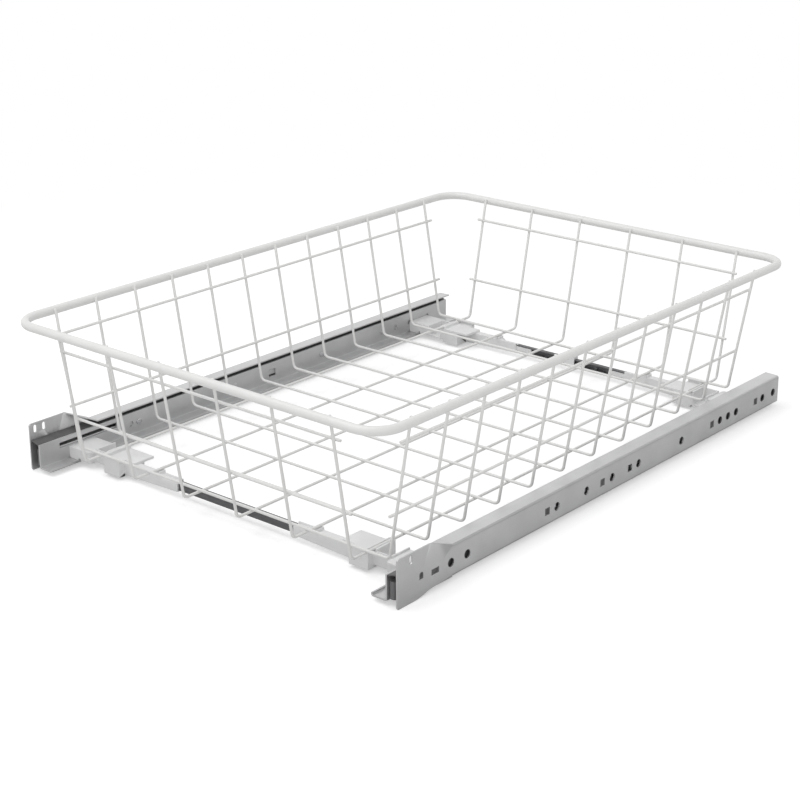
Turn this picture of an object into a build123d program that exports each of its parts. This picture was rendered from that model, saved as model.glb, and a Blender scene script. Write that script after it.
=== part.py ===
"""Pull-out wire basket on a pair of full-extension ball runners, for a 450 mm kitchen cabinet.

X runs across the cabinet, Y into it (the front is -Y), Z up. The origin is under the middle of the
rim, on the surface that the runners stand on. Every length is in millimetres. The left side of each
mirrored piece is made from the right one.
"""
import math
import os

from build123d import *

# ---------------------------------------------------------------- driving dimensions
# Cabinet and runner
CABINET_INSIDE_WIDTH = 414.0
RUNNER_LENGTH = 550.0
TRAVEL = 540.0
SHEET = 1.2
RAIL_SHEET = 1.0
CAGE_SHEET = 0.4
RUNNING_GAP = 0.3

# Cabinet plate, heights over the floor and lengths from its front edge
PLATE_BOTTOM = 3.6
PLATE_TOP = 30.2
NOSE_TOP = 42.0
NOSE_LENGTH = 38.0
NOSE_RAMP = 25.0
NOSE_HEEL = 23.0
NOSE_HEEL_RAMP = 14.0
NOSE_CORNER = 2.0
FLANGE_WIDTH = 8.4
FLANGE_DROP = 0.8
ROOF_TIP = 10.1
ROOF_DROP = 2.4
ROOF_GAP = 1.2
FLANGE_FILLET = 1.6
BOTTOM_FLANGE_WIDTH = 7.6
HOLE_ROW_HEIGHT = 16.0

# Fixing holes of the plate, measured from its front edge
SCREW_HOLE_DIAMETER = 5.2
SCREW_HOLES = (61.5, 81.0, 196.0, 237.0, 274.0, 313.5, 381.0, 445.5, 459.5, 473.5, 521.0, 540.5)
ACCESS_MARGIN = 4.5
ACCESS_GROUPS = ((61.5, 81.0), (196.0, 237.0), (274.0, 313.5), (381.0, 381.0), (445.5, 473.5), (521.0, 540.5))
PIN_WINDOW = 4.8
PIN_WINDOWS = (183.0, 260.0, 300.5, 432.0, 508.5)
LATCH_WINDOW_AT = 43.0
LATCH_WINDOW = (8.6, 4.6)
ARCH_WINDOW_AT = 27.0
ARCH_WINDOW = (4.4, 5.6)
NOSE_SLOT = (3.4, 7.0)
NOSE_SLOT_HEIGHT = 36.6
NOSE_SLOTS_RIGHT = (15.3,)
NOSE_SLOTS_LEFT = (6.0, 15.3)

# Ball rails
RAIL_BOTTOM = 4.8
RAIL_HEIGHT = 19.8
BALL_DIAMETER = 2.4
BALL_GAP = 0.1
BALLS_PER_ROW = 3
BALL_SIDES = 8
BALL_CROWN = 0.85
BALL_TAPER = 32.0
CAGE_LENGTH = 240.0
OUTER_RAIL_DEPTH = 6.6
MIDDLE_RAIL_DEPTH = 3.9
INNER_RAIL_DEPTH = 5.4
RAIL_FRONT_SETBACK = 10.0
RAIL_REAR_SETBACK = 3.0
MIDDLE_RAIL_REAR_SETBACK = 8.0
RAIL_LIP = 1.0
# Drawer member
WEB_SHEET = 1.5
WEB_TOP = 25.2
FOOT_BOTTOM = 3.5
FOOT_WIDTH = 14.0
FOOT_LIP = 1.6
WEB_SETBACK = 0.8
WEB_HOLE_DIAMETER = 5.0
WEB_HOLE_SIDES = 12
WEB_HOLES = (103.0, 464.0, 486.0, 515.0)
WEB_WINDOW_AT = 282.0
WEB_WINDOW = (9.0, 7.0)
WEB_SLOT_AT = 54.0
WEB_SLOT = (64.0, 4.6)
WEB_SLOT_HEIGHT = 18.9
BUMPER_SETBACK = 2.0
BUMPER_LENGTH = 6.0
BUMPER_THICKNESS = 5.6
BUMPER_BOTTOM = 5.2
BUMPER_HEIGHT = 14.5
BUMPER_CHAMFER = 1.2
RIVET_HOLE = 2.8
RIVET_HEAD = 6.0
RIVET_HEAD_HEIGHT = 1.0
RIVET_SIDES = 8
RIVETS = (112.0, 232.0, 352.0, 444.0)

# Wire basket
WIRE = 2.5
WIRE_SIDES = 8
RIM_WIRE = 7.5
RIM_SIDES = 12
RIM_WIDTH = 409.6
RIM_DEPTH = 581.6
RIM_HEIGHT = 138.0
RIM_CORNER = 28.0
WALL_BEND = 9.0
WELD_SET = 0.02
FLOOR_HALF_WIDTH = 175.0
FLOOR_HALF_DEPTH = 259.5
FLOOR_SHIFT = -2.3
FLOOR_WIRE_HEIGHT = 21.1
CROSS_WIRES = 12
CROSS_WIRE_PITCH = 43.9
CROSS_WIRE_SHIFT = -5.0
LONG_WIRES = 6
LONG_WIRE_PITCH = 60.1
BAND_HEIGHTS = (58.1, 119.6)
BAND_OVERHANG = 5.0
WIRE_TIP = 2.2
BEND_CHORDS = 3
RIM_CHORDS = 4

# Cross bars; the faces are the outer planes that bar, sleeve and arm share
FRONT_FACE = -236.5
REAR_FACE = 233.5
BAR_TOP = 13.4
BAR_HEIGHT = 7.0
BAR_DEPTH = 4.6
BAR_SHEET = 1.0
BAR_GROOVE = 0.6
BAR_GROOVE_DROP = 2.0
BAR_TONGUE = 18.0
BAR_FIT = 0.15
BOSSES = (30.0, 44.0)
BOSS_DIAMETER = 4.4
BOSS_HEIGHT = 1.2
BOSS_SIDES = 12

# Moulded brackets, widths from the middle of the basket
BRACKET_WALL = 1.5
BRACKET_TIP = 66.0
BRACKET_DEPTH = 22.0
BRACKET_TOP_GAP = 0.1
SLEEVE_TOP = 15.0
SLEEVE_BOTTOM = 5.2
SLEEVE_LOW = 3.0
DIP_END = 86.5
DIP_DEPTH = 2.0
PAD_WIDTH = 5.0
TABLE_TIP = 118.0
BLOCK_INNER = 130.5
BLOCK_OUTER = 150.1
BLOCK_PROUD = 6.5
BLOCK_BOTTOM = 2.5
RIB_THICKNESS = 1.6
RIB_TOP = 20.0
WIRE_PLAY = 0.4
ARM_RELIEF = 0.8
ARM_CHAMFER = 2.0
ARM_STEP = 168.0
ARM_TOP = 15.5
POCKET_FLOOR = 6.6
FOOT_SCREW_DIAMETER = 3.5
FOOT_SCREW_HEAD = 7.0
FOOT_SCREW_HEAD_HEIGHT = 1.6
FOOT_SCREW_LENGTH = 7.0
FOOT_SCREW_SIDES = 6
FOOT_SCREW_SPACING = 12.0
CLIP_WIDTH = 12.0
CLIP_WALL = 1.2
CLIP_RISE = 3.2

# ---------------------------------------------------------------- places worked out from them
PLATE_OUTER = CABINET_INSIDE_WIDTH / 2
PLATE_INNER = PLATE_OUTER - SHEET
RUNNER_FRONT = -RUNNER_LENGTH / 2
RUNNER_REAR = RUNNER_LENGTH / 2
OUTER_BACK = PLATE_INNER - RAIL_SHEET
CAGE_SPACE = CAGE_SHEET + 2 * RUNNING_GAP
MIDDLE_OUTER = OUTER_BACK - CAGE_SPACE
MIDDLE_BACK = MIDDLE_OUTER - RAIL_SHEET
INNER_TIP = MIDDLE_BACK - CAGE_SPACE
WEB_OUTER = INNER_TIP - INNER_RAIL_DEPTH
WEB_INNER = WEB_OUTER - WEB_SHEET
BALL_SPACE = BALL_DIAMETER + 2 * BALL_GAP
RAIL_MIDDLE_HEIGHT = RAIL_BOTTOM + RAIL_HEIGHT / 2
MIDDLE_RAIL_HEIGHT = RAIL_HEIGHT - 2 * (RAIL_SHEET + BALL_SPACE)
INNER_RAIL_HEIGHT = MIDDLE_RAIL_HEIGHT - 2 * (RAIL_SHEET + BALL_SPACE)
FOOT_TOP = FOOT_BOTTOM + WEB_SHEET
LONG_WIRE_HEIGHT = FLOOR_WIRE_HEIGHT - WIRE + WELD_SET
BRACKET_TOP = LONG_WIRE_HEIGHT - WIRE / 2 - BRACKET_TOP_GAP
OUTER_WIRE_X = LONG_WIRE_PITCH * (LONG_WIRES - 1) / 2
SECOND_WIRE_X = OUTER_WIRE_X - LONG_WIRE_PITCH
SLEEVE_DEPTH = BAR_DEPTH + 2 * BRACKET_WALL
FOOT_SCREW_X = WEB_OUTER - FOOT_WIDTH / 2


# ---------------------------------------------------------------- helpers
def along_depth(section, start, end):
    """Runs a section drawn as (X, Z) from the depth start to the depth end."""
    plane = Plane(origin=(0, end, 0), x_dir=(1, 0, 0), z_dir=(0, -1, 0))
    return extrude(plane * section, amount=end - start)


def across_width(outline, start, end):
    """Gives an outline drawn as (Y, Z) a thickness from X = start to X = end."""
    plane = Plane(origin=(start, 0, 0), x_dir=(0, 1, 0), z_dir=(1, 0, 0))
    return extrude(plane * outline, amount=end - start)


def upward(outline, start, end):
    """Raises an outline drawn as (X, Y) from one height to another."""
    return extrude(Pos(0, 0, start) * outline, amount=end - start)


def box(x_range, y_range, z_range):
    """A block between three pairs of limits."""
    size = [limits[1] - limits[0] for limits in (x_range, y_range, z_range)]
    middle = [(limits[1] + limits[0]) / 2 for limits in (x_range, y_range, z_range)]
    return Pos(*middle) * Box(*size)


def polygon(*points):
    """A flat face inside a closed chain of points."""
    return make_face(Polyline(*points, close=True))


def folded(points, sheet, radius):
    """Section of a folded strip whose middle line passes through the points."""
    return trace(FilletPolyline(*points, radius=radius), line_width=sheet)


def bent(points, radius, chords):
    """Line through the points whose corners are bent round in a few straight chords."""
    path = [Vector(*points[0])]
    for before, corner, after in zip(points, points[1:], points[2:]):
        corner = Vector(*corner)
        inward = (corner - Vector(*before)).normalized()
        outward = (Vector(*after) - corner).normalized()
        turn = math.radians(inward.get_angle(outward))
        start = corner - inward * radius * math.tan(turn / 2)
        across = (outward - inward * math.cos(turn)).normalized()
        for step in range(chords + 1):
            angle = turn * step / chords
            path.append(start + inward * radius * math.sin(angle) + across * radius * (1 - math.cos(angle)))
    path.append(Vector(*points[-1]))
    return path


def wire_along(path, diameter, sides, flat_side):
    """Wire along a path, its section an even polygon with one flat turned to flat_side."""
    start = Plane(origin=path @ 0, x_dir=flat_side, z_dir=path % 0)
    section = RegularPolygon(diameter / 2, sides, major_radius=False, rotation=180 / sides)
    return sweep(start * section, path=path, transition=Transition.RIGHT)


def cross_drill(diameter, y, z, start, end):
    """Cylinder along X, for a round hole through sheets that stand upright."""
    return across_width(Pos(y, z) * Circle(diameter / 2), start, end)


def both_sides(name, right):
    """Writes a right-hand piece and its mirror image."""
    write(name + "_right", right)
    write(name + "_left", mirror(right, about=Plane.YZ))


def write(name, shape):
    """Writes one piece, or one set of like pieces, to its own file."""
    solids = shape.solids() if hasattr(shape, "solids") else [s for part in shape for s in part.solids()]
    export_step(Compound(label=name, children=list(solids)), "parts/" + name + ".step")


# ---------------------------------------------------------------- cabinet side of the runner
def cabinet_plate(nose_slots):
    """Outer plate: raised nose at the front, folded flange over the rest, rows of fixing holes."""
    heel = RUNNER_FRONT + NOSE_HEEL
    heel_end = heel + NOSE_HEEL_RAMP
    nose = RUNNER_FRONT + NOSE_LENGTH
    nose_end = nose + NOSE_RAMP
    outline = polygon(
        (RUNNER_FRONT, 0),
        (heel, 0),
        (heel_end, PLATE_BOTTOM),
        (nose_end, PLATE_BOTTOM),
        (nose_end, PLATE_TOP),
        (nose, NOSE_TOP),
        (RUNNER_FRONT, NOSE_TOP),
    )
    front_corners = outline.vertices().filter_by_position(Axis.X, RUNNER_FRONT - 1, RUNNER_FRONT + 1)
    outline = fillet(front_corners, NOSE_CORNER)
    ramps = outline.vertices().filter_by_position(Axis.Y, NOSE_TOP - 1, NOSE_TOP + 1)
    outline = fillet(ramps.filter_by_position(Axis.X, nose - 1, nose + 1), 3 * NOSE_CORNER)
    low = outline.vertices().filter_by_position(Axis.Y, -1, PLATE_BOTTOM + 1)
    heels = low.filter_by_position(Axis.X, heel - 1, heel_end + 1)
    outline = fillet(heels, 2 * NOSE_HEEL)
    plate = across_width(outline, PLATE_INNER, PLATE_OUTER)

    middle = PLATE_OUTER - SHEET / 2
    fold = PLATE_TOP - SHEET / 2
    low_fold = PLATE_BOTTOM + SHEET / 2
    channel = folded(
        [
            (PLATE_OUTER - BOTTOM_FLANGE_WIDTH, low_fold),
            (middle, low_fold),
            (middle, fold),
            (PLATE_OUTER - FLANGE_WIDTH, fold - FLANGE_DROP),
        ],
        SHEET,
        FLANGE_FILLET,
    )
    plate += along_depth(channel, nose_end, RUNNER_REAR)
    angle = folded(
        [(PLATE_OUTER - BOTTOM_FLANGE_WIDTH, low_fold), (middle, low_fold), (middle, HOLE_ROW_HEIGHT)],
        SHEET,
        FLANGE_FILLET,
    )
    plate += along_depth(angle, heel_end, nose_end)

    for distance in SCREW_HOLES:
        plate -= plate_hole(SCREW_HOLE_DIAMETER, distance)
    for distance in PIN_WINDOWS:
        plate -= window(distance, HOLE_ROW_HEIGHT, PIN_WINDOW, PIN_WINDOW)
    plate -= window(LATCH_WINDOW_AT, HOLE_ROW_HEIGHT, *LATCH_WINDOW)
    arch_width, arch_height = ARCH_WINDOW
    plate -= window(ARCH_WINDOW_AT, HOLE_ROW_HEIGHT + 1.0, arch_width, arch_height - arch_width / 2)
    arch_crown = HOLE_ROW_HEIGHT + 1.0 + (arch_height - arch_width / 2) / 2
    plate -= cross_drill(arch_width, RUNNER_FRONT + ARCH_WINDOW_AT, arch_crown, PLATE_INNER, PLATE_OUTER)
    for distance in nose_slots:
        slot = SlotOverall(NOSE_SLOT[1], NOSE_SLOT[0], rotation=90)
        plate -= across_width(Pos(RUNNER_FRONT + distance, NOSE_SLOT_HEIGHT) * slot, PLATE_INNER, PLATE_OUTER)
    return plate


def plate_hole(diameter, distance):
    """Round hole in the plate's fixing row."""
    return cross_drill(diameter, RUNNER_FRONT + distance, HOLE_ROW_HEIGHT, PLATE_INNER, PLATE_OUTER)


def window(distance, height, length, tall):
    """Rectangular hole in the plate."""
    outline = Pos(RUNNER_FRONT + distance, height) * Rectangle(length, tall)
    return across_width(outline, PLATE_INNER, PLATE_OUTER)


def roof_rail():
    """Angle under the plate's folded flange that slopes down over the ball rails from end to end."""
    middle = PLATE_INNER - RAIL_SHEET / 2
    top = PLATE_TOP - SHEET - ROOF_GAP - RAIL_SHEET / 2
    bottom = RAIL_BOTTOM + RAIL_HEIGHT + RUNNING_GAP
    section = folded(
        [(middle, bottom), (middle, top), (PLATE_OUTER - ROOF_TIP, top - ROOF_DROP)],
        RAIL_SHEET,
        RAIL_SHEET,
    )
    return along_depth(section, RUNNER_FRONT + WEB_SETBACK, RUNNER_REAR - RAIL_REAR_SETBACK)


def outer_rail():
    """Fixed C rail, its two flanges turned in at the mouth; its back has windows for the screws."""
    middle = PLATE_INNER - RAIL_SHEET / 2
    mouth = PLATE_INNER - OUTER_RAIL_DEPTH + RAIL_SHEET / 2
    low = RAIL_BOTTOM + RAIL_SHEET / 2
    high = RAIL_BOTTOM + RAIL_HEIGHT - RAIL_SHEET / 2
    section = folded(
        [
            (mouth, low + RAIL_LIP + RAIL_SHEET / 2),
            (mouth, low),
            (middle, low),
            (middle, high),
            (mouth, high),
            (mouth, high - RAIL_LIP - RAIL_SHEET / 2),
        ],
        RAIL_SHEET,
        RAIL_SHEET * 0.55,
    )
    rail = along_depth(section, RUNNER_FRONT + RAIL_FRONT_SETBACK, RUNNER_REAR - RAIL_REAR_SETBACK)
    for first, last in ACCESS_GROUPS:
        length = last - first + 2 * ACCESS_MARGIN
        outline = Pos(RUNNER_FRONT + (first + last) / 2, HOLE_ROW_HEIGHT) * Rectangle(length, 2 * ACCESS_MARGIN)
        rail -= across_width(outline, OUTER_BACK, PLATE_INNER)
    return rail


# ---------------------------------------------------------------- moving members
def c_section(back, tip, height, sheet):
    """C section about the rails' middle height, from its back to the tips of its flanges."""
    step = sheet / 2 if tip > back else -sheet / 2
    low = RAIL_MIDDLE_HEIGHT - height / 2 + sheet / 2
    high = RAIL_MIDDLE_HEIGHT + height / 2 - sheet / 2
    points = [(tip, low), (back + step, low), (back + step, high), (tip, high)]
    return folded(points, sheet, sheet * 0.55)


def middle_rail():
    """C rail between the two ball rows, carried by the outer one and carrying the inner one."""
    section = c_section(MIDDLE_OUTER, MIDDLE_OUTER - MIDDLE_RAIL_DEPTH, MIDDLE_RAIL_HEIGHT, RAIL_SHEET)
    start = RUNNER_FRONT + RAIL_FRONT_SETBACK
    return along_depth(section, start, RUNNER_REAR - MIDDLE_RAIL_REAR_SETBACK)


def inner_rail():
    """C rail riveted to the drawer member."""
    section = c_section(WEB_OUTER, INNER_TIP, INNER_RAIL_HEIGHT, RAIL_SHEET)
    start = RUNNER_FRONT + WEB_SETBACK + BUMPER_SETBACK + BUMPER_LENGTH
    rail = along_depth(section, start, RUNNER_REAR - RAIL_REAR_SETBACK)
    for distance in RIVETS:
        hole = Pos(RUNNER_FRONT + distance, RAIL_MIDDLE_HEIGHT) * RegularPolygon(RIVET_HOLE / 2, RIVET_SIDES)
        rail -= across_width(hole, WEB_OUTER, WEB_OUTER + RAIL_SHEET)
    return rail


def ball():
    """Steel ball, drawn with flat facets because there are many and they are small."""
    radius = BALL_DIAMETER / 2
    half = extrude(RegularPolygon(radius, BALL_SIDES), amount=radius * BALL_CROWN, taper=BALL_TAPER)
    return half + mirror(half, about=Plane.XY)


def cage(back, tip, ball_x, height):
    """Ball retainer: a thin C strip with a window for each ball, and its two rows of balls."""
    rows = (RAIL_MIDDLE_HEIGHT - height / 2, RAIL_MIDDLE_HEIGHT + height / 2)
    low = rows[0]
    high = rows[1]
    edge = back - CAGE_SHEET / 2
    line = Polyline((tip, low), (edge, low), (edge, high), (tip, high))
    strip = along_depth(trace(line, line_width=CAGE_SHEET), -CAGE_LENGTH / 2, CAGE_LENGTH / 2)
    spacing = CAGE_LENGTH / BALLS_PER_ROW
    window_size = BALL_DIAMETER + BALL_GAP
    balls = []
    for row in rows:
        for index in range(BALLS_PER_ROW):
            place = Pos(ball_x, (index - (BALLS_PER_ROW - 1) / 2) * spacing, row)
            strip -= place * Box(window_size, window_size, BALL_DIAMETER)
            balls.append(place * ball())
    return strip, balls


def outer_cage():
    """Retainer between the outer and the middle rail."""
    back = OUTER_BACK - RUNNING_GAP
    height = RAIL_HEIGHT - 2 * RAIL_SHEET - BALL_SPACE
    ball_x = MIDDLE_BACK - BALL_DIAMETER / 4
    return cage(back, ball_x - BALL_DIAMETER / 2, ball_x, height)


def inner_cage():
    """Retainer between the middle and the inner rail."""
    back = MIDDLE_BACK - RUNNING_GAP
    height = MIDDLE_RAIL_HEIGHT - 2 * RAIL_SHEET - BALL_SPACE
    ball_x = back - CAGE_SHEET - BALL_DIAMETER / 2
    return cage(back, ball_x - BALL_DIAMETER / 2, ball_x, height)


def drawer_member():
    """Upright web with a foot turned in at the bottom, which the brackets stand on."""
    web_middle = WEB_INNER + WEB_SHEET / 2
    foot_middle = FOOT_BOTTOM + WEB_SHEET / 2
    section = folded(
        [
            (foot_edge(), FOOT_TOP + FOOT_LIP),
            (foot_edge(), foot_middle),
            (web_middle, foot_middle),
            (web_middle, WEB_TOP),
        ],
        WEB_SHEET,
        WEB_SHEET * 0.75,
    )
    start = RUNNER_FRONT + WEB_SETBACK
    member = along_depth(section, start, RUNNER_REAR - RAIL_REAR_SETBACK)

    def cut(outline, distance, height):
        return across_width(Pos(RUNNER_FRONT + distance, height) * outline, WEB_INNER, WEB_OUTER)

    for distance in WEB_HOLES:
        member -= cut(RegularPolygon(WEB_HOLE_DIAMETER / 2, WEB_HOLE_SIDES), distance, RAIL_MIDDLE_HEIGHT)
    for distance in RIVETS:
        member -= cut(RegularPolygon(RIVET_HOLE / 2, RIVET_SIDES), distance, RAIL_MIDDLE_HEIGHT)
    member -= cut(Rectangle(*WEB_WINDOW), WEB_WINDOW_AT, RAIL_MIDDLE_HEIGHT)
    member -= cut(Rectangle(*WEB_SLOT), WEB_SLOT_AT, WEB_SLOT_HEIGHT)
    for drill in foot_screw_drills():
        member -= drill
    return member


def rail_rivets():
    """Rivets that hold the inner rail to the drawer member: flat head, shank and closed end."""
    rivets = []
    for distance in RIVETS:
        place = Pos(RUNNER_FRONT + distance, RAIL_MIDDLE_HEIGHT)
        head = place * RegularPolygon(RIVET_HEAD / 2, RIVET_SIDES)
        shank = place * RegularPolygon(RIVET_HOLE / 2, RIVET_SIDES)
        rivet = across_width(head, WEB_INNER - RIVET_HEAD_HEIGHT, WEB_INNER)
        rivet += across_width(shank, WEB_INNER - RIVET_HEAD_HEIGHT, WEB_OUTER + RAIL_SHEET)
        rivets.append(rivet)
    return rivets


def foot_screw_places():
    """Depths of the screws that hold the brackets on the foot."""
    front = FRONT_FACE + (BRACKET_DEPTH - BLOCK_PROUD) / 2
    rear = REAR_FACE - (BRACKET_DEPTH - BLOCK_PROUD) / 2
    step = FOOT_SCREW_SPACING / 2
    return (front - step, front + step, rear - step, rear + step)


def foot_screw_drills():
    """The shanks of the foot screws on the right."""
    shank = RegularPolygon(FOOT_SCREW_DIAMETER / 2, FOOT_SCREW_SIDES)
    top = FOOT_BOTTOM + FOOT_SCREW_LENGTH
    return [upward(Pos(FOOT_SCREW_X, y) * shank, FOOT_BOTTOM, top) for y in foot_screw_places()]


def bracket_screws():
    """Hexagon-head screws up through the foot into the brackets, both sides."""
    screws = []
    head = RegularPolygon(FOOT_SCREW_HEAD / 2, FOOT_SCREW_SIDES)
    for drill, y in zip(foot_screw_drills(), foot_screw_places()):
        outline = Pos(FOOT_SCREW_X, y) * head
        screw = drill + upward(outline, FOOT_BOTTOM - FOOT_SCREW_HEAD_HEIGHT, FOOT_BOTTOM)
        screws += [screw, mirror(screw, about=Plane.YZ)]
    return screws


def front_bumper():
    """Moulded block on the nose of the drawer member, beside its web."""
    start = RUNNER_FRONT + WEB_SETBACK + BUMPER_SETBACK
    block = box(
        (WEB_OUTER, WEB_OUTER + BUMPER_THICKNESS),
        (start, start + BUMPER_LENGTH),
        (BUMPER_BOTTOM, BUMPER_BOTTOM + BUMPER_HEIGHT),
    )
    return chamfer(block.edges().filter_by(Axis.Z).group_by(Axis.Y)[0], BUMPER_CHAMFER)


# ---------------------------------------------------------------- wire basket
def rim():
    """Thick closed frame wire round the mouth of the basket."""
    x = (RIM_WIDTH - RIM_WIRE) / 2
    y = (RIM_DEPTH - RIM_WIRE) / 2
    corners = [(0, -y), (x, -y), (x, y), (-x, y), (-x, -y), (0, -y)]
    points = bent([(*corner, RIM_HEIGHT) for corner in corners], RIM_CORNER - RIM_WIRE / 2, RIM_CHORDS)
    return wire_along(Polyline(*points[:-1], close=True), RIM_WIRE, RIM_SIDES, (0, 0, 1))


def upright_line(rim_middle, floor_half, height, wire_height):
    """Distance from the centre of an upright that leans from the floor to the rim's inner side."""
    contact = (RIM_WIRE + WIRE) / 2 - WELD_SET
    rise = RIM_HEIGHT - wire_height
    run = rim_middle - floor_half
    lean = math.atan2(run, rise)
    for _ in range(4):
        lean = math.atan2(run - contact / math.cos(lean), rise)
    return floor_half + math.tan(lean) * (height - wire_height), lean


def side_upright(height):
    """Half width to an upright's middle at a height, and its lean."""
    return upright_line(RIM_WIDTH / 2 - RIM_WIRE / 2, FLOOR_HALF_WIDTH, height, FLOOR_WIRE_HEIGHT)


def end_upright(height, side):
    """Depth of an upright's middle at a height, in front (-1) or at the back (1), and its lean."""
    rim_middle = RIM_DEPTH / 2 - RIM_WIRE / 2
    floor_end = FLOOR_HALF_DEPTH + side * FLOOR_SHIFT
    distance, lean = upright_line(rim_middle, floor_end, height, LONG_WIRE_HEIGHT)
    return side * distance, lean


def cross_wire_places():
    """Depths of the wires that run across the floor."""
    middle = (CROSS_WIRES - 1) / 2
    return [CROSS_WIRE_SHIFT + (index - middle) * CROSS_WIRE_PITCH for index in range(CROSS_WIRES)]


def long_wire_places():
    """Places across the width of the wires that run from front to back."""
    middle = (LONG_WIRES - 1) / 2
    return [(index - middle) * LONG_WIRE_PITCH for index in range(LONG_WIRES)]


def tip_height():
    """Height of the upright wires' cut ends, beside the rim."""
    return RIM_HEIGHT + WIRE_TIP


def cross_wires():
    """U wires across the basket: up one side, over the floor and up the other side."""
    top = tip_height()
    reach, _ = side_upright(top)
    wires = []
    for y in cross_wire_places():
        points = [
            (-reach, y, top),
            (-FLOOR_HALF_WIDTH, y, FLOOR_WIRE_HEIGHT),
            (FLOOR_HALF_WIDTH, y, FLOOR_WIRE_HEIGHT),
            (reach, y, top),
        ]
        path = Polyline(*bent(points, WALL_BEND, BEND_CHORDS))
        wires.append(wire_along(path, WIRE, WIRE_SIDES, (0, 1, 0)))
    return wires


def long_wires():
    """U wires from front to back, under the cross wires."""
    top = tip_height()
    front, _ = end_upright(top, -1)
    back, _ = end_upright(top, 1)
    wires = []
    for x in long_wire_places():
        points = [
            (x, front, top),
            (x, FLOOR_SHIFT - FLOOR_HALF_DEPTH, LONG_WIRE_HEIGHT),
            (x, FLOOR_SHIFT + FLOOR_HALF_DEPTH, LONG_WIRE_HEIGHT),
            (x, back, top),
        ]
        path = Polyline(*bent(points, WALL_BEND, BEND_CHORDS))
        wires.append(wire_along(path, WIRE, WIRE_SIDES, (1, 0, 0)))
    return wires


def band_inset(lean):
    """Distance between the middles of a leaning upright and of the band wire on its inside."""
    return (WIRE - WELD_SET) / math.cos(lean)


def side_bands():
    """Straight wires along the inside of the two side walls."""
    reach = CROSS_WIRE_PITCH * (CROSS_WIRES - 1) / 2 + BAND_OVERHANG
    wires = []
    for height in BAND_HEIGHTS:
        upright, lean = side_upright(height)
        x = upright - band_inset(lean)
        for side in (-1, 1):
            line = Line((side * x, CROSS_WIRE_SHIFT - reach, height), (side * x, CROSS_WIRE_SHIFT + reach, height))
            wires.append(wire_along(line, WIRE, WIRE_SIDES, (math.cos(lean), 0, -side * math.sin(lean))))
    return wires


def end_bands():
    """Straight wires along the inside of the front and back walls."""
    reach = OUTER_WIRE_X + BAND_OVERHANG
    wires = []
    for height in BAND_HEIGHTS:
        for side in (-1, 1):
            upright, lean = end_upright(height, side)
            y = upright - side * band_inset(lean)
            line = Line((-reach, y, height), (reach, y, height))
            wires.append(wire_along(line, WIRE, WIRE_SIDES, (0, math.cos(lean), -side * math.sin(lean))))
    return wires


# ---------------------------------------------------------------- cross bars and brackets
def foot_edge():
    """Middle of the lip along the free edge of the drawer member's foot."""
    return WEB_OUTER - FOOT_WIDTH - WEB_SHEET / 2


def bar_section():
    """C section of a cross bar as (depth from its web, Z), with a groove along the web."""
    sheet = BAR_SHEET
    low = BAR_TOP - BAR_HEIGHT + sheet / 2
    high = BAR_TOP - sheet / 2
    groove = BAR_TOP - BAR_GROOVE_DROP
    points = [
        (BAR_DEPTH, low),
        (sheet / 2, low),
        (sheet / 2, groove - BAR_GROOVE),
        (sheet / 2 + BAR_GROOVE, groove),
        (sheet / 2, groove + BAR_GROOVE),
        (sheet / 2, high),
        (BAR_DEPTH, high),
    ]
    return trace(Polyline(*points), line_width=sheet)


def cross_bar():
    """Folded steel bar that butts against the two sleeves, drawn with the shared face at Y = 0."""
    reach = BRACKET_TIP - BAR_FIT
    return Pos(0, BRACKET_WALL, 0) * across_width(bar_section(), -reach, reach)


def front_bar():
    """The front bar, its mouth towards the back."""
    return Pos(0, FRONT_FACE, 0) * cross_bar()


def rear_bar():
    """The rear bar, its mouth towards the front, with two round bosses inside."""
    bar = cross_bar()
    height = BAR_TOP - BAR_HEIGHT / 2
    for x in BOSSES:
        place = Pos(x, BRACKET_WALL + BAR_SHEET + BOSS_HEIGHT / 2, height) * Rot(90, 0, 0)
        bar += place * extrude(RegularPolygon(BOSS_DIAMETER / 2, BOSS_SIDES), amount=BOSS_HEIGHT, both=True)
    return Pos(0, REAR_FACE, 0) * mirror(bar, about=Plane.XZ)


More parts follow.
